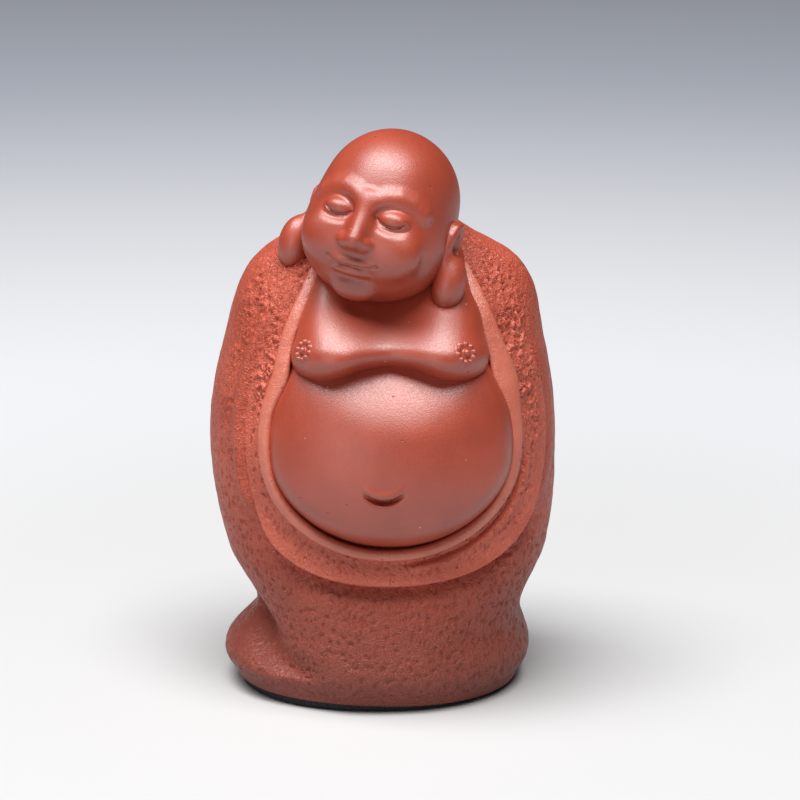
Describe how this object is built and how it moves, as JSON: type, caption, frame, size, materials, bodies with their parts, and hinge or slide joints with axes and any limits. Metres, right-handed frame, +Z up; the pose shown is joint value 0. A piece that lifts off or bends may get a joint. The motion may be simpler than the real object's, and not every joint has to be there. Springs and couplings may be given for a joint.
{
  "type": "laughing monk tea pet",
  "caption": "Stout standing monk figure of red clay in an open rough robe with a bare round belly, a tea tray ornament on a dark foot pad.",
  "frame": {"origin": "centre of the foot pad's underside, where the figure stands", "axes": "+Z up, the figure looks towards -Y, +X is the figure's own left"},
  "size_m": [0.0603, 0.0566, 0.0986],
  "materials": {
    "skin_clay": "satin unglazed red stoneware, fine sand grain, sparse pale specks",
    "robe_clay": "matt unglazed red stoneware, stippled and pitted with dragged marks",
    "pad_rubber": "matt dark foam rubber"
  },
  "bodies": {
    "root": {"robe_front_shell": "robe_clay", "robe_back_shell": "robe_clay", "left_lapel": "robe_clay", "right_lapel": "robe_clay", "left_border_roll": "skin_clay", "right_border_roll": "skin_clay", "belly_dome": "skin_clay", "chest_plate": "skin_clay", "neck_ring": "skin_clay", "face_shell": "skin_clay", "skull_shell": "skin_clay", "left_ear": "skin_clay", "right_ear": "skin_clay", "base_plate": "skin_clay", "foot_pad": "pad_rubber"}
  },
  "joints": []
}
